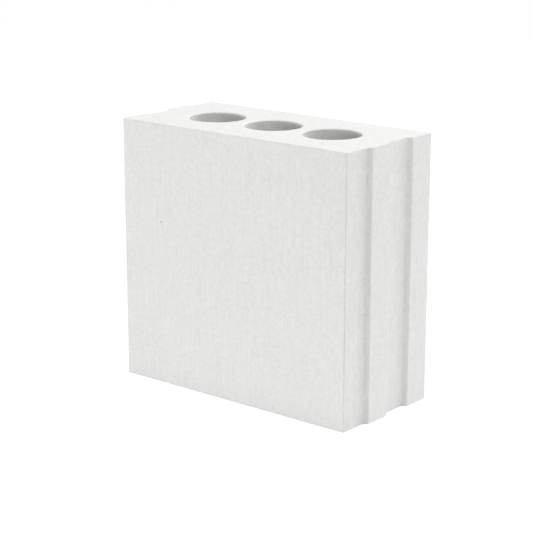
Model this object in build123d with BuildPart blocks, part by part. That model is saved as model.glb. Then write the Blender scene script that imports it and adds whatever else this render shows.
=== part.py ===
"""Sand-lime block with tongue-and-groove ends and a row of upright round holes.

Millimetres, Z up. The origin is the centre of the bottom bed. X runs along the wall, from one
end of the block to the other, and Y runs through the thickness of the wall.

The block is pressed in one piece. Both ends carry the same outline, one turned half a turn
about the upright axis from the other, so that every block slots into the next without mortar.
"""
from build123d import *
import os

os.makedirs("parts", exist_ok=True)

# Sizes of the block. The length module is one block and one end joint of a laid course.
length_module = 250.0
block_thickness = 115.0
block_height = 238.0

# Interlocking ends. The clearance is measured between two facing flanks of a laid course.
tongue_depth = 4.0
end_gap = 2.0
flank_clearance = 1.25

# Roundings of the tongues and grooves, and bevels of the four upright corners.
flank_radius = 1.0
corner_bevel = 1.0

# Upright holes, in one row along the middle of the thickness. They open at both beds.
hole_diameter = 51.0
hole_pitch = 64.0
hole_count = 3

# How far the ends stand out and lie back from the middle of the block.
crest_x = (length_module - end_gap + tongue_depth) / 2
root_x = crest_x - tongue_depth

# The flanks slope, so that the gap between two ends opens the clearance between their flanks.
flank_run = flank_clearance * tongue_depth / end_gap
half_run = flank_run / 2

# Each end is four strips of equal width, with a flank centred on each line between two strips.
strip_width = block_thickness / 4
half_thickness = block_thickness / 2

# Right-hand end from front to rear: recess, tongue, groove and standing strip.
right_end = [
    (root_x, -half_thickness),
    (root_x, -strip_width - half_run),
    (crest_x, -strip_width + half_run),
    (crest_x, -half_run),
    (root_x, half_run),
    (root_x, strip_width - half_run),
    (crest_x, strip_width + half_run),
    (crest_x, half_thickness),
]
left_end = [(-x, -y) for x, y in right_end]

with BuildPart() as sand_lime_block:
    with BuildSketch() as plan:
        with BuildLine():
            Polyline(right_end + left_end, close=True)
        make_face()

        # The corners of the plan lie furthest to the front and to the rear.
        rows = plan.vertices().group_by(Axis.Y)
        chamfer(rows[0] + rows[-1], length=corner_bevel)

        # The flanks reach from strip to strip, well inside the thickness.
        flank_corners = plan.vertices().filter_by(lambda v: abs(v.Y) <= strip_width + half_run)
        fillet(flank_corners, radius=flank_radius)
    extrude(amount=block_height)

    with GridLocations(hole_pitch, 0, hole_count, 1):
        Hole(radius=hole_diameter / 2)

sand_lime_block.part.label = "sand_lime_block"
export_step(sand_lime_block.part, "parts/sand_lime_block.step")
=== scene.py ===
"""Sand-lime block, dressed for its photograph: one pressed piece with tongue-and-groove ends.

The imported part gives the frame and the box. The block shown here is modelled over it at the same
sizes, and adds what the press, the mould and handling leave behind: softened arrises, small chips,
open pores and the streaks that the mould walls draw up the faces.
"""
import logging
import math
import random
from collections.abc import Callable, Sequence
from dataclasses import dataclass
from enum import Enum

import bpy
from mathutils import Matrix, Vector


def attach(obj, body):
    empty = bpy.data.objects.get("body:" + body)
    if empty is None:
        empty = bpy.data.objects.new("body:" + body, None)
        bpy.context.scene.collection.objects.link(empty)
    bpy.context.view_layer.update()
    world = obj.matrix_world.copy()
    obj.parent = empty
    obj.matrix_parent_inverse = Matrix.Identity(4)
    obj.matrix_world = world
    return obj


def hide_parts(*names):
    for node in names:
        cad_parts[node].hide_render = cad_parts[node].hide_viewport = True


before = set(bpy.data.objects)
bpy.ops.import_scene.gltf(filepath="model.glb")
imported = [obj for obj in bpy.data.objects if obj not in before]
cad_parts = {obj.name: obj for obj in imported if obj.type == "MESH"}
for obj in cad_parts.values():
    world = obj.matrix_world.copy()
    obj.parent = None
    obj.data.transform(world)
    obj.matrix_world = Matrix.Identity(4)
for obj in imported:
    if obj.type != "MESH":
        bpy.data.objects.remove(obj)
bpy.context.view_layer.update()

logging.basicConfig(level=logging.INFO, format="%(name)s: %(message)s")
log = logging.getLogger("sand_lime_block")

NODE = "sand_lime_block"
BODY = "root"
SLOT = "sand_lime"

# One millimetre in metres, and how near is near when places on the block are compared.
MM = 0.001
NEAR = 0.1 * MM
TOUCHING = 0.01 * MM
MERGED = 0.002 * MM

# Shares of a face's normal along an axis: 0 for a face that stands along it, 1 for one that
# looks straight that way.
SLIGHT = 0.2
HALF = 0.5
MOST = 0.9
NEARLY_ALL = 0.97

Socket = bpy.types.NodeSocket
Pair = tuple[float, float]
Triple = tuple[float, float, float]
Spot = tuple[Vector, Sequence[float]]
EdgeTest = Callable[[Vector, Vector], bool]
FaceTest = Callable[[bpy.types.MeshPolygon], bool]

# The plain tone of the pressed stone, and the tone where its lime is cooler.
PLAIN_TONE: Triple = (0.790, 0.790, 0.775)
COOL_TONE: Triple = (0.783, 0.793, 0.785)
WHITE = (1.0, 1.0, 1.0, 1.0)


class Zone(Enum):
    """Which part of the block's skin a finish belongs to."""

    FACE = "pressed_face"
    ARRIS = "worn_arris"
    BROKEN = "broken_sand"

    @property
    def material_name(self) -> str:
        """The name of the zone's material."""
        return f"{SLOT}_{self.value}"


class ArrisRun(Enum):
    """The three directions in which the block's outer arrises run."""

    ALONG = 0
    ACROSS = 1
    UPRIGHT = 2


def deselect_all() -> None:
    """Leave object mode with nothing selected."""
    if bpy.context.object is not None and bpy.context.object.mode != "OBJECT":
        bpy.ops.object.mode_set(mode="OBJECT")
    bpy.ops.object.select_all(action="DESELECT")


def make_active(piece: bpy.types.Object) -> None:
    """Select one object alone and make it the active one.

    Args:
        piece: The object to work on next.
    """
    deselect_all()
    piece.select_set(True)
    bpy.context.view_layer.objects.active = piece


def settle(piece: bpy.types.Object) -> None:
    """Move an object's place, turn and scale into its mesh."""
    make_active(piece)
    bpy.ops.object.transform_apply(location=True, rotation=True, scale=True)


def bevel_picked(width: float, segments: int, profile: float = 0.5) -> None:
    """Bevel the edges that are picked, and leave edit mode.

    Args:
        width: How far the bevel reaches on each side of an edge.
        segments: How many strips the bevel is made of.
        profile: The bevel's shape, round at 0.5 and flatter below it.
    """
    bpy.ops.mesh.bevel(
        offset=width, offset_type="OFFSET", segments=segments, profile=profile, affect="EDGES"
    )
    deselect_all()


def start_picking(piece: bpy.types.Object, mode: str) -> None:
    """Clear a piece's selection, so that its elements can be picked in code.

    Args:
        piece: The object to edit.
        mode: Which elements are picked, VERT, EDGE or FACE.
    """
    make_active(piece)
    bpy.ops.object.mode_set(mode="EDIT")
    bpy.ops.mesh.select_mode(type=mode)
    bpy.ops.mesh.select_all(action="DESELECT")
    bpy.ops.object.mode_set(mode="OBJECT")


def pick_edges(piece: bpy.types.Object, wanted: EdgeTest) -> None:
    """Select the edges whose two ends pass a test, and go to edit mode.

    Args:
        piece: The object whose edges are looked through.
        wanted: A test that takes the edge's two end points.
    """
    start_picking(piece, "EDGE")
    corners = piece.data.vertices
    for edge in piece.data.edges:
        first, second = (corners[i].co for i in edge.vertices)
        edge.select = wanted(first, second)
    bpy.ops.object.mode_set(mode="EDIT")


def pick_faces(piece: bpy.types.Object, wanted: FaceTest) -> None:
    """Select the faces that pass a test, and go to edit mode.

    Args:
        piece: The object whose faces are looked through.
        wanted: A test that takes the face.
    """
    start_picking(piece, "FACE")
    for face in piece.data.polygons:
        face.select = wanted(face)
    bpy.ops.object.mode_set(mode="EDIT")


def cut_away(piece: bpy.types.Object, cutter: bpy.types.Object) -> None:
    """Take one solid out of another and throw the cutter away.

    Args:
        piece: The solid that is cut.
        cutter: The solid that is taken out of it.
    """
    make_active(piece)
    bpy.ops.object.modifier_add(type="BOOLEAN")
    cut = piece.modifiers[-1]
    cut.operation = "DIFFERENCE"
    cut.solver = "EXACT"
    cut.material_mode = "TRANSFER"
    cut.object = cutter
    bpy.ops.object.modifier_apply(modifier=cut.name)
    bpy.data.objects.remove(cutter)


def join_all(pieces: list[bpy.types.Object], name: str) -> bpy.types.Object:
    """Join several objects into one.

    Args:
        pieces: The objects to join, each with its own mesh.
        name: The name of the joined object.

    Returns:
        The joined object.
    """
    deselect_all()
    for piece in pieces:
        piece.select_set(True)
    bpy.context.view_layer.objects.active = pieces[0]
    if len(pieces) > 1:
        bpy.ops.object.join()
    pieces[0].name = name
    return pieces[0]


class Nodes:
    """A small helper that adds and links the nodes of one material or of the world."""

    def __init__(self, owner: bpy.types.Material | bpy.types.World) -> None:
        """Start on the owner's own node tree, emptied.

        Args:
            owner: The material or the world that the nodes make up.
        """
        owner.use_nodes = True
        self.tree = owner.node_tree
        self.tree.nodes.clear()

    def add(self, kind: str, **settings: str) -> bpy.types.Node:
        """Add a node.

        Args:
            kind: The node's type name.
            **settings: Properties of the node to set.

        Returns:
            The new node.
        """
        node = self.tree.nodes.new(kind)
        for name, value in settings.items():
            setattr(node, name, value)
        return node

    def link(self, source: Socket, target: Socket) -> None:
        """Join an output to an input."""
        self.tree.links.new(source, target)

    def math(self, operation: str, *values: Socket | float) -> Socket:
        """Add a Math node.

        Args:
            operation: The node's operation.
            *values: A socket or a number for each of its inputs.

        Returns:
            The node's output socket.
        """
        node = self.add("ShaderNodeMath", operation=operation)
        for slot, value in zip(node.inputs, values):
            if isinstance(value, Socket):
                self.link(value, slot)
            else:
                slot.default_value = value
        return node.outputs[0]

    def sway(self, base: Socket | float, mark: Socket, strength: float) -> Socket:
        """Let a mark from 0 to 1 lower and raise a value by up to a strength, about 0.5."""
        centred = self.math("SUBTRACT", mark, 0.5)
        return self.math("MULTIPLY_ADD", centred, 2 * strength, base)

    def fade(self, value: Socket, low: float, high: float) -> Socket:
        """Fade smoothly from 1 to 0 as a value rises.

        Args:
            value: The socket that is read.
            low: The value up to which the result is 1.
            high: The value from which the result is 0.

        Returns:
            The node's output socket.
        """
        node = self.add("ShaderNodeMapRange", interpolation_type="SMOOTHSTEP")
        ends = {"From Min": low, "From Max": high, "To Min": 1.0, "To Max": 0.0}
        for name, number in ends.items():
            node.inputs[name].default_value = number
        self.link(value, node.inputs["Value"])
        return node.outputs[0]

    def noise(self, place: Socket, scale: float, detail: float, rough: float) -> Socket:
        """Add a Noise Texture that reads a place.

        Args:
            place: The socket of coordinates.
            scale: Grains per metre.
            detail: How many finer layers are added.
            rough: How strong the finer layers are.

        Returns:
            The node's factor output.
        """
        node = self.add("ShaderNodeTexNoise")
        node.inputs["Scale"].default_value = scale
        node.inputs["Detail"].default_value = detail
        node.inputs["Roughness"].default_value = rough
        self.link(place, node.inputs["Vector"])
        return node.outputs[0]

    def seen_rays(self) -> Socket:
        """Tell the rays that show the studio, to the camera and in gloss or glass.

        Returns:
            A socket that is 1 for those rays and 0 for the rays that carry light.
        """
        path = self.add("ShaderNodeLightPath").outputs
        seen = self.math("MAXIMUM", path["Is Camera Ray"], path["Is Glossy Ray"])
        return self.math("MAXIMUM", seen, path["Is Transmission Ray"])

    def mix(self, share: Socket, first: Socket, second: Socket) -> Socket:
        """Mix two shaders.

        Args:
            share: How much of the second shader is taken.
            first: The shader where the share is 0.
            second: The shader where the share is 1.

        Returns:
            The mixed shader's socket.
        """
        node = self.add("ShaderNodeMixShader")
        for source, target in zip((share, first, second), node.inputs):
            self.link(source, target)
        return node.outputs[0]


@dataclass(frozen=True)
class SandLimeFinish:
    """Off-white pressed sand and lime, with fine grain, mould streaks, specks and a thin darker
    band along the outer arrises.

    A strength is how far a mark lightens or darkens the tone, as a share of it. A draw is how
    fast a mark changes up the block, as a share of how fast it changes across it.
    """

    zone: Zone
    tone: Triple = PLAIN_TONE
    tint_share: float = 0.8
    layers: float = 3.0
    layer_strength: float = 0.6
    grains_per_metre: float = 1500.0
    grain_strength: float = 0.05
    clouds_per_metre: float = 28.0
    cloud_layer_strength: float = 0.55
    cloud_strength: float = 0.016
    mottles_per_metre: float = 275.0
    mottle_draw: float = 1.0
    mottle_strength: float = 0.108
    mottle_relief: float = 0.3
    streaks_per_metre: float = 380.0
    streak_draw: float = 0.07
    streak_strength: float = 0.062
    streak_relief: float = 0.2
    specks_per_metre: float = 640.0
    speck_rarity: float = 0.86
    speck_core: float = 0.12
    speck_rim: float = 0.34
    speck_strength: float = 0.06
    arris_band_darkening: float = 0.045
    arris_band_width: float = 2.6 * MM
    arris_band_least: float = 0.4
    arris_band_sway: float = 1.2
    roughness: float = 0.88
    roughness_sway: float = 0.05
    gloss: float = 0.25
    relief: float = 0.6
    grain_height: float = 0.06 * MM

    def make(self, block: "PressedBlock") -> bpy.types.Material:
        """Build the material for this zone of the block.

        Args:
            block: The block whose sizes place the wear along its arrises.

        Returns:
            The finished material.
        """
        material = bpy.data.materials.new(self.zone.material_name)
        nodes = Nodes(material)
        place = nodes.add("ShaderNodeTexCoord").outputs["Object"]
        grain = nodes.noise(place, self.grains_per_metre, self.layers, self.layer_strength)
        cloud = nodes.noise(place, self.clouds_per_metre, self.layers, self.cloud_layer_strength)
        mottle = self.drawn_out(nodes, place, self.mottle_draw, self.mottles_per_metre)
        streak = self.drawn_out(nodes, place, self.streak_draw, self.streaks_per_metre)
        specks = self.specks(nodes, place)
        arris_band = self.arris_band(nodes, place, block, cloud)

        shade = nodes.sway(1.0, grain, self.grain_strength)
        shade = nodes.sway(shade, cloud, self.cloud_strength)
        shade = nodes.sway(shade, mottle, self.mottle_strength)
        shade = nodes.sway(shade, streak, self.streak_strength)
        shade = nodes.math("SUBTRACT", shade, nodes.math("MULTIPLY", specks, self.speck_strength))
        # Darken the tone a little in a thin, uneven band along the outer arrises.
        shade = nodes.math("SUBTRACT", shade, nodes.math("MULTIPLY", arris_band, self.arris_band_darkening))
        colour = self.shaded_tone(nodes, cloud, shade)

        height = nodes.sway(grain, streak, self.streak_relief)
        height = nodes.sway(height, mottle, self.mottle_relief)
        height = nodes.math("SUBTRACT", height, specks)
        bump = nodes.add("ShaderNodeBump")
        bump.inputs["Strength"].default_value = self.relief
        bump.inputs["Distance"].default_value = self.grain_height
        nodes.link(height, bump.inputs["Height"])

        shader = nodes.add("ShaderNodeBsdfPrincipled")
        shader.inputs["Specular IOR Level"].default_value = self.gloss
        nodes.link(colour, shader.inputs["Base Color"])
        matte = nodes.sway(self.roughness, grain, self.roughness_sway)
        nodes.link(matte, shader.inputs["Roughness"])
        nodes.link(bump.outputs[0], shader.inputs["Normal"])
        out = nodes.add("ShaderNodeOutputMaterial")
        nodes.link(shader.outputs[0], out.inputs["Surface"])
        return material

    def shaded_tone(self, nodes: Nodes, cloud: Socket, shade: Socket) -> Socket:
        """The stone's tone, a little cooler in places, times its shade.

        Args:
            nodes: The material's nodes.
            cloud: A slow noise that says where the lime is cooler.
            shade: How light each spot is, with 1 for the plain tone.

        Returns:
            The colour's socket.
        """
        tint = nodes.add("ShaderNodeMix", data_type="RGBA")
        nodes.link(nodes.math("MULTIPLY", cloud, self.tint_share), tint.inputs[0])
        warm, cool = (slot for slot in tint.inputs if slot.type == "RGBA")
        cooled = (c * t / p for c, t, p in zip(COOL_TONE, self.tone, PLAIN_TONE))
        warm.default_value = (*self.tone, 1.0)
        cool.default_value = (*cooled, 1.0)
        colour = nodes.add("ShaderNodeVectorMath", operation="SCALE")
        nodes.link(next(slot for slot in tint.outputs if slot.type == "RGBA"), colour.inputs[0])
        nodes.link(shade, colour.inputs["Scale"])
        return colour.outputs[0]

    def drawn_out(self, nodes: Nodes, place: Socket, draw: float, scale: float) -> Socket:
        """Marks that the mould walls draw up the faces as the block is pushed out.

        Args:
            nodes: The material's nodes.
            place: The socket of object coordinates.
            draw: How fast the marks change up the block, as a share of that across it.
            scale: Marks per metre across the block.

        Returns:
            A socket from 0 to 1.
        """
        drawn = nodes.add("ShaderNodeMapping")
        drawn.inputs["Scale"].default_value = (1.0, 1.0, draw)
        nodes.link(place, drawn.inputs["Vector"])
        return nodes.noise(drawn.outputs[0], scale, self.layers, self.layer_strength)

    def specks(self, nodes: Nodes, place: Socket) -> Socket:
        """Scattered darker sand grains and pores.

        Args:
            nodes: The material's nodes.
            place: The socket of object coordinates.

        Returns:
            A socket that is 1 on a speck and 0 between specks.
        """
        cells = nodes.add("ShaderNodeTexVoronoi", feature="F1")
        cells.inputs["Scale"].default_value = self.specks_per_metre
        nodes.link(place, cells.inputs["Vector"])
        lot = nodes.add("ShaderNodeSeparateColor")
        nodes.link(cells.outputs["Color"], lot.inputs[0])
        chosen = nodes.math("GREATER_THAN", lot.outputs[0], self.speck_rarity)
        round_speck = nodes.fade(cells.outputs["Distance"], self.speck_core, self.speck_rim)
        return nodes.math("MULTIPLY", chosen, round_speck)

    def arris_band(
        self, nodes: Nodes, place: Socket, block: "PressedBlock", cloud: Socket
    ) -> Socket:
        """A thin, uneven band along the outer arrises, where the tone is darkened.

        Args:
            nodes: The material's nodes.
            place: The socket of object coordinates.
            block: The block whose sizes say where its arrises are.
            cloud: A slow noise that makes the band uneven.

        Returns:
            A socket that is 1 on an arris and 0 away from it.
        """
        split = nodes.add("ShaderNodeSeparateXYZ")
        nodes.link(place, split.inputs[0])
        depths = []
        centre = (0.0, 0.0, block.height / 2)
        for output, half, middle in zip(split.outputs, block.half_size, centre):
            off = nodes.math("ABSOLUTE", nodes.math("SUBTRACT", output, middle))
            depths.append(nodes.math("SUBTRACT", half, off))
        along, through, upward = depths
        low = nodes.math("MINIMUM", along, through)
        high = nodes.math("MAXIMUM", along, through)
        nearest = nodes.math("MAXIMUM", low, nodes.math("MINIMUM", high, upward))
        uneven = nodes.math("MULTIPLY_ADD", cloud, self.arris_band_sway, self.arris_band_least)
        return nodes.fade(nodes.math("MULTIPLY", nearest, uneven), 0.0, self.arris_band_width)


@dataclass(frozen=True)
class WhiteFloorFinish:
    """A plain white floor that shows white to the camera and keeps a faint shadow.

    To the camera it is the glow, plus the light that falls on a dimmed share of its tone.
    """

    tone: Triple = (0.80, 0.80, 0.80)
    glow: float = 0.85
    shadow_share: float = 0.30

    def make(self) -> bpy.types.Material:
        """Build the floor's material.

        Returns:
            The finished material.
        """
        material = bpy.data.materials.new("white_floor")
        nodes = Nodes(material)
        plain = nodes.add("ShaderNodeBsdfDiffuse")
        plain.inputs["Color"].default_value = (*self.tone, 1.0)
        dimmed = nodes.add("ShaderNodeBsdfDiffuse")
        dim_tone = (self.shadow_share * level for level in self.tone)
        dimmed.inputs["Color"].default_value = (*dim_tone, 1.0)
        glow = nodes.add("ShaderNodeEmission")
        glow.inputs["Strength"].default_value = self.glow
        both = nodes.add("ShaderNodeAddShader")
        nodes.link(dimmed.outputs[0], both.inputs[0])
        nodes.link(glow.outputs[0], both.inputs[1])
        shown = nodes.mix(nodes.seen_rays(), plain.outputs[0], both.outputs[0])
        out = nodes.add("ShaderNodeOutputMaterial")
        nodes.link(shown, out.inputs["Surface"])
        return material


@dataclass
class PressedBlock:
    """The block itself: its body, its interlocking ends, its holes and the marks of handling.

    Chips and pores are cut with copies of one crumb. Their radii are drawn in millimetres. Their
    stretch, and the rise of the crumb's middle over the surface, are shares of the radius.
    """

    length: float = 252.0 * MM
    thickness: float = 115.0 * MM
    height: float = 238.0 * MM
    strip_count: int = 4
    tongue_depth: float = 4.0 * MM
    flank_run: float = 2.5 * MM
    flank_segments: int = 5
    root_radius: float = 1.0 * MM
    crest_radius: float = 1.6 * MM
    corner_bevel: float = 1.0 * MM
    corner_segments: int = 3
    corner_profile: float = 0.4
    bed_arris: float = 0.35 * MM
    bed_segments: int = 2
    rim_arris: float = 1.4 * MM
    rim_segments: int = 4
    hole_diameter: float = 51.0 * MM
    hole_pitch: float = 64.0 * MM
    hole_count: int = 3
    hole_sides: int = 128
    mandrel_reach: float = 1.5
    crumb_detail: int = 2
    crumb_jitter: float = 0.22
    crumb_swell: float = 0.6
    crumb_rise: float = 0.35
    chip_count: int = 46
    chip_radii: Pair = (0.35, 0.95)
    chip_stretch: Pair = (1.3, 2.6)
    chip_range: float = 0.94
    pore_count: int = 44
    pore_radii: Pair = (0.22, 0.5)
    pore_stretch: Pair = (0.8, 1.4)
    pore_range: float = 0.9
    pore_heights: Pair = (0.05, 0.95)
    front_pit: Spot = (
        Vector((-81.4 * MM, -57.6 * MM, 149.6 * MM)), (1.5 * MM, 0.9 * MM, 0.9 * MM)
    )
    # A notch at the top of the left end's middle flank; its dark broken tone is painted shade for
    # that flank.
    left_shade_notch: Spot = (
        Vector((-122.0 * MM, 0.3 * MM, 238.4 * MM)), (1.5 * MM, 2.4 * MM, 1.3 * MM)
    )
    smooth_angle: float = 32.0
    seed: int = 7

    @property
    def half_size(self) -> Vector:
        """Half the block's length, thickness and height."""
        return Vector((self.length, self.thickness, self.height)) / 2

    @property
    def hole_places(self) -> list[float]:
        """Where each hole stands along the block."""
        first = -(self.hole_count - 1) / 2 * self.hole_pitch
        return [first + index * self.hole_pitch for index in range(self.hole_count)]

    @property
    def strip(self) -> float:
        """The width of one strip of an end: its recess, tongue, groove or standing strip."""
        return self.thickness / self.strip_count

    @property
    def flank_lines(self) -> list[float]:
        """Where each flank starts and stops through the thickness."""
        half_run = self.flank_run / 2
        return [y + side * half_run for y in (-self.strip, 0.0, self.strip) for side in (-1, 1)]

    def build(self) -> bpy.types.Object:
        """Model the whole block.

        Returns:
            The finished object, with its materials.
        """
        block = self.press_body()
        self.shape_ends(block)
        self.round_flanks(block)
        self.bevel_corners(block)
        self.open_holes(block)
        self.soften_beds(block)
        self.dress(block)
        self.knock_chips(block)
        self.open_pores(block)
        self.finish_mesh(block)
        return block

    def press_body(self) -> bpy.types.Object:
        """Add the plain body at its size and place, standing on the floor.

        Returns:
            The body, with its scale in its mesh.
        """
        deselect_all()
        bpy.ops.mesh.primitive_cube_add(size=1.0, location=(0.0, 0.0, self.height / 2))
        block = bpy.context.object
        block.name = "sand_lime_block_skin"
        block.scale = (self.length, self.thickness, self.height)
        settle(block)
        return block

    def shape_ends(self, block: bpy.types.Object) -> None:
        """Cut the ends along the flank lines and push their recesses and grooves in.

        Args:
            block: The body.
        """
        make_active(block)
        bpy.ops.object.mode_set(mode="EDIT")
        for line in self.flank_lines:
            bpy.ops.mesh.select_all(action="SELECT")
            bpy.ops.mesh.bisect(plane_co=(0.0, line, 0.0), plane_no=(0.0, 1.0, 0.0))
        half = self.length / 2
        for end in (-1, 1):
            pick_faces(block, lambda face: self.lies_back(face, end, half))
            bpy.ops.transform.translate(value=(-end * self.tongue_depth, 0.0, 0.0))
        deselect_all()

    def lies_back(self, face: bpy.types.MeshPolygon, end: int, half: float) -> bool:
        """Tell whether an end face is a recess or a groove.

        Args:
            face: A face of the body.
            end: 1 for the right end, and -1 for the left one.
            half: Half the block's length.

        Returns:
            True for the recess and the groove of that end.
        """
        off = abs(face.center.x - end * half)
        if abs(face.normal.x) < MOST or off > self.tongue_depth / 2:
            return False
        recess_stop, _, _, groove_start, groove_stop, _ = self.flank_lines
        y = end * face.center.y
        return y < recess_stop or groove_start < y < groove_stop

    def round_flanks(self, block: bpy.types.Object) -> None:
        """Round the upright edges of the tongues and grooves, the worn crests more than the roots.

        Args:
            block: The body with shaped ends.
        """
        inner = self.strip + self.flank_run
        turn = math.atan2(self.tongue_depth, self.flank_run)
        crest = self.length / 2
        root = crest - self.tongue_depth
        for stand, radius in ((crest, self.crest_radius), (root, self.root_radius)):
            pick_edges(
                block,
                lambda a, b: self.upright(a, b)
                and abs(a.y) < inner
                and abs(abs(a.x) - stand) < NEAR,
            )
            bevel_picked(radius * math.tan(turn / 2), self.flank_segments)

    def upright(self, first: Vector, second: Vector) -> bool:
        """Tell whether an edge runs from bed to bed."""
        return abs(first.z - second.z) > self.height / 2

    def bevel_corners(self, block: bpy.types.Object) -> None:
        """Bevel the four upright corners.

        Args:
            block: The body with shaped ends.
        """
        outer = self.thickness / 2 - NEAR
        root = self.length / 2 - self.tongue_depth - MM
        pick_edges(
            block,
            lambda a, b: self.upright(a, b) and abs(a.y) > outer and abs(a.x) > root,
        )
        bevel_picked(self.corner_bevel, self.corner_segments, self.corner_profile)

    def open_holes(self, block: bpy.types.Object) -> None:
        """Bore the row of upright holes from bed to bed.

        Args:
            block: The body.
        """
        mandrels = []
        for place in self.hole_places:
            deselect_all()
            bpy.ops.mesh.primitive_cylinder_add(
                vertices=self.hole_sides,
                radius=self.hole_diameter / 2,
                depth=self.height * self.mandrel_reach,
                location=(place, 0.0, self.height / 2),
            )
            settle(bpy.context.object)
            mandrels.append(bpy.context.object)
        cut_away(block, join_all(mandrels, "mandrels"))

    def soften_beds(self, block: bpy.types.Object) -> None:
        """Soften the arrises of both beds, and round the rims of the holes.

        Args:
            block: The bored body.
        """
        self.pick_bed_edges(block, rims=False)
        bevel_picked(self.bed_arris, self.bed_segments)
        self.pick_bed_edges(block, rims=True)
        bevel_picked(self.rim_arris, self.rim_segments)

    def pick_bed_edges(self, block: bpy.types.Object, rims: bool) -> None:
        """Select the sharp edges of both beds, and go to edit mode.

        Args:
            block: The bored body.
            rims: True for the rims of the holes, and False for the outline.
        """
        tilts: dict[tuple[int, int], list[float]] = {}
        for face in block.data.polygons:
            for key in face.edge_keys:
                tilts.setdefault(key, []).append(abs(face.normal.z))
        start_picking(block, "EDGE")
        corners = block.data.vertices
        for edge in block.data.edges:
            ends = [corners[i].co for i in edge.vertices]
            heights = [end.z for end in ends]
            on_bed = max(heights) < TOUCHING or min(heights) > self.height - TOUCHING
            around = tilts[tuple(sorted(edge.vertices))]
            sharp = min(around) < HALF < max(around)
            edge.select = on_bed and sharp and self.on_rim(ends) is rims
        bpy.ops.object.mode_set(mode="EDIT")

    def on_rim(self, ends: Sequence[Vector]) -> bool:
        """Tell whether an edge's ends both lie on the wall of one hole."""
        reach = self.hole_diameter / 2 + NEAR
        return any(
            all(math.hypot(end.x - place, end.y) < reach for end in ends)
            for place in self.hole_places
        )

    def dress(self, block: bpy.types.Object) -> None:
        """Give the faces, the arrises and the broken spots their finishes.

        Args:
            block: The body before it is chipped.
        """
        finishes = (
            SandLimeFinish(Zone.FACE),
            # The upright corner bevels get a slightly darker, rougher finish than the faces.
            SandLimeFinish(
                Zone.ARRIS, tone=(0.785, 0.785, 0.77), roughness=0.94, grain_height=0.10 * MM
            ),
            SandLimeFinish(
                Zone.BROKEN, tone=(0.69, 0.685, 0.66), roughness=0.96, grain_height=0.16 * MM
            ),
        )
        block.data.materials.clear()
        for finish in finishes:
            block.data.materials.append(finish.make(self))
        outer = self.thickness / 2 - self.corner_bevel - TOUCHING
        pick_faces(
            block,
            lambda face: abs(face.center.y) > outer
            and SLIGHT < abs(face.normal.x) < NEARLY_ALL
            and abs(face.normal.z) < SLIGHT,
        )
        block.active_material_index = list(Zone).index(Zone.ARRIS)
        bpy.ops.object.material_slot_assign()
        deselect_all()

    def crumb(self, name: str) -> bpy.types.Object:
        """Model one irregular crumb of sand, of unit radius.

        Args:
            name: The crumb's name.

        Returns:
            The crumb, which chips and pores are copied from.
        """
        deselect_all()
        bpy.ops.mesh.primitive_ico_sphere_add(subdivisions=self.crumb_detail, radius=1.0)
        crumb = bpy.context.object
        crumb.name = name
        bpy.ops.object.mode_set(mode="EDIT")
        bpy.ops.mesh.select_all(action="SELECT")
        bpy.ops.transform.vertex_random(
            offset=self.crumb_jitter, uniform=0.0, normal=self.crumb_swell, seed=self.seed
        )
        deselect_all()
        crumb.data.materials.append(bpy.data.materials[Zone.BROKEN.material_name])
        return crumb

    def scatter(
        self, crumb: bpy.types.Object, spots: Sequence[Spot], name: str
    ) -> bpy.types.Object:
        """Copy a crumb to many spots and join the copies into one cutter.

        Args:
            crumb: The crumb that is copied.
            spots: For each copy its centre and its three radii.
            name: The cutter's name.

        Returns:
            The joined cutter.
        """
        copies = []
        for centre, radii in spots:
            copy = crumb.copy()
            copy.data = crumb.data.copy()
            bpy.context.scene.collection.objects.link(copy)
            copy.location, copy.scale = centre, radii
            settle(copy)
            copies.append(copy)
        bpy.data.objects.remove(crumb)
        return join_all(copies, name)

    def knock_chips(self, block: bpy.types.Object) -> None:
        """Knock small chips off the outer arrises, and cut one notch in the left rim, whose darker
        broken tone is painted shade for the shade that falls on the left end's middle flank.

        Args:
            block: The dressed body.
        """
        rng = random.Random(self.seed)
        # The arrises along the block are the most exposed, so they are drawn twice as often.
        runs = (ArrisRun.ALONG, ArrisRun.ALONG, ArrisRun.ACROSS, ArrisRun.UPRIGHT)
        spots: list[Spot] = []
        half = self.half_size
        for _ in range(self.chip_count):
            run = rng.choice(runs)
            sides = [rng.choice((-1.0, 1.0)) for _ in half]
            size = rng.uniform(*self.chip_radii) * MM
            centre = Vector((side * reach for side, reach in zip(sides, half)))
            centre[run.value] = rng.uniform(-self.chip_range, self.chip_range) * half[run.value]
            # The two corners beside the recesses stand back by the depth of the tongues.
            if run is ArrisRun.UPRIGHT and sides[0] * sides[1] < 0:
                centre.x -= sides[0] * self.tongue_depth
            for axis, side in enumerate(sides):
                if axis != run.value:
                    centre[axis] += side * size * self.crumb_rise
            centre.z += half.z
            radii = [size for _ in half]
            radii[run.value] = size * rng.uniform(*self.chip_stretch)
            spots.append((centre, radii))
        # The left notch paints, with its darker broken tone, the shade on the left end's middle
        # flank.
        spots.append(self.left_shade_notch)
        cut_away(block, self.scatter(self.crumb("chip"), spots, "chips"))

    def open_pores(self, block: bpy.types.Object) -> None:
        """Open small pores in the two broad faces, and the one large pit in the front.

        Args:
            block: The chipped body.
        """
        rng = random.Random(self.seed + 1)
        half = self.half_size
        spots: list[Spot] = []
        for _ in range(self.pore_count):
            side = rng.choice((-1.0, 1.0))
            along = rng.uniform(-self.pore_range, self.pore_range) * half.x
            up = self.height * rng.uniform(*self.pore_heights)
            size = rng.uniform(*self.pore_radii) * MM
            centre = Vector((along, side * (half.y + self.crumb_rise * size), up))
            width, height = (size * rng.uniform(*self.pore_stretch) for _ in range(2))
            spots.append((centre, (width, size, height)))
        spots.append(self.front_pit)
        cut_away(block, self.scatter(self.crumb("pore"), spots, "pores"))

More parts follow.
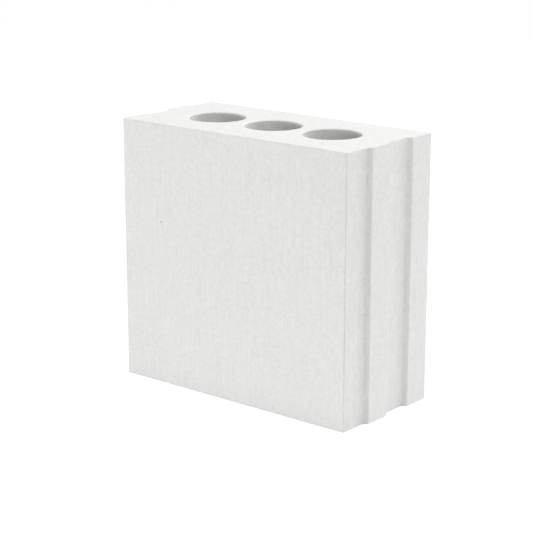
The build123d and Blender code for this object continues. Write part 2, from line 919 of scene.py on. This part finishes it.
    def finish_mesh(self, block: bpy.types.Object) -> None:
        """Merge doubles, turn every face outward and smooth the roundings.

        Args:
            block: The finished body.
        """
        start_picking(block, "VERT")
        bpy.ops.object.mode_set(mode="EDIT")
        bpy.ops.mesh.select_all(action="SELECT")
        bpy.ops.mesh.remove_doubles(threshold=MERGED)
        bpy.ops.mesh.normals_make_consistent(inside=False)
        make_active(block)
        bpy.ops.object.shade_smooth_by_angle(angle=math.radians(self.smooth_angle))
        bpy.ops.object.modifier_add(type="WEIGHTED_NORMAL")
        weighting = block.modifiers[-1]
        weighting.keep_sharp = True
        bpy.ops.object.modifier_apply(modifier=weighting.name)


@dataclass(frozen=True)
class SoftLamp:
    """One soft lamp, hung on a wide sphere around the block and turned towards it.

    The azimuth and the elevation are in degrees. The strength lights the block as much from any
    distance.
    """

    name: str
    azimuth: float
    elevation: float
    strength: float
    width: float = 1.4
    height: float = 1.4
    distance: float = 4.0

    def hang(self, centre: Vector) -> None:
        """Hang the lamp.

        Args:
            centre: The point that it is turned towards.
        """
        turn, tilt = math.radians(self.azimuth), math.radians(self.elevation)
        flat = math.cos(tilt)
        outward = Vector((math.cos(turn) * flat, math.sin(turn) * flat, math.sin(tilt)))
        data = bpy.data.lights.new(self.name, type="AREA")
        data.shape = "RECTANGLE"
        data.size = self.width
        data.size_y = self.height
        data.energy = self.strength * (math.pi * self.distance) ** 2
        lamp = bpy.data.objects.new(self.name, data)
        bpy.context.scene.collection.objects.link(lamp)
        lamp.location = centre + outward * self.distance
        lamp.rotation_euler = (-outward).to_track_quat("-Z", "Y").to_euler()


@dataclass
class Studio:
    """The camera, the white floor and the soft light around the block."""

    lens: float = 112.03
    sensor: float = 36.0
    yaw: float = 39.32
    pitch: float = 15.28
    eye: Triple = (0.89572, -1.10317, 0.49908)
    floor_size: float = 4.4
    floor_gap: float = 0.05 * MM
    sky: float = 0.16
    lit_point: Triple = (0.0, 0.0, 0.12)
    lamps: tuple[SoftLamp, ...] = (
        SoftLamp("top_softbox", 0.0, 90.0, 0.57),
        SoftLamp("rear_right_softbox", 72.0, 25.0, 0.45),
        SoftLamp("low_right_softbox", 45.0, 10.0, 0.12),
        SoftLamp("right_softbox", 0.0, 22.0, 0.24),
        SoftLamp("front_softbox", 280.0, 40.0, 0.13),
        SoftLamp("left_strip", 205.0, 4.0, 0.41, width=1.8, height=0.5),
        SoftLamp("front_strip", 248.0, 4.0, 0.222, width=1.8, height=0.5),
    )

    def set_up(self) -> None:
        """Place the floor, the light and the camera."""
        self.lay_floor()
        self.light_world()
        for lamp in self.lamps:
            lamp.hang(Vector(self.lit_point))
        self.place_camera()

    def lay_floor(self) -> None:
        """Lay a wide white floor at the foot of the block."""
        deselect_all()
        foot = (0.0, 0.0, -self.floor_gap)
        bpy.ops.mesh.primitive_plane_add(size=self.floor_size, location=foot)
        floor = bpy.context.object
        floor.name = "studio_floor"
        floor.data.materials.append(WhiteFloorFinish().make())

    def light_world(self) -> None:
        """Light everything evenly, and show white behind the floor."""
        world = bpy.data.worlds.new("white_studio")
        bpy.context.scene.world = world
        nodes = Nodes(world)
        light, white = (nodes.add("ShaderNodeBackground") for _ in range(2))
        for background, strength in ((light, self.sky), (white, 1.0)):
            background.inputs["Color"].default_value = WHITE
            background.inputs["Strength"].default_value = strength
        shown = nodes.mix(nodes.seen_rays(), light.outputs[0], white.outputs[0])
        out = nodes.add("ShaderNodeOutputWorld")
        nodes.link(shown, out.inputs["Surface"])

    def place_camera(self) -> None:
        """Stand the camera where the photograph was taken from."""
        data = bpy.data.cameras.new("photo_camera")
        data.sensor_width = self.sensor
        data.lens = self.lens
        camera = bpy.data.objects.new("photo_camera", data)
        bpy.context.scene.collection.objects.link(camera)
        camera.location = self.eye
        camera.rotation_euler = (math.radians(90.0 - self.pitch), 0.0, math.radians(self.yaw))
        bpy.context.scene.camera = camera


def main() -> None:
    scene = bpy.context.scene
    scene.view_settings.view_transform = "Standard"
    block = PressedBlock().build()
    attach(block, BODY)
    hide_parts(NODE)
    log.info("%s: %d faces, size %s", block.name, len(block.data.polygons), tuple(block.dimensions))
    Studio().set_up()


if __name__ == "__main__":
    main()
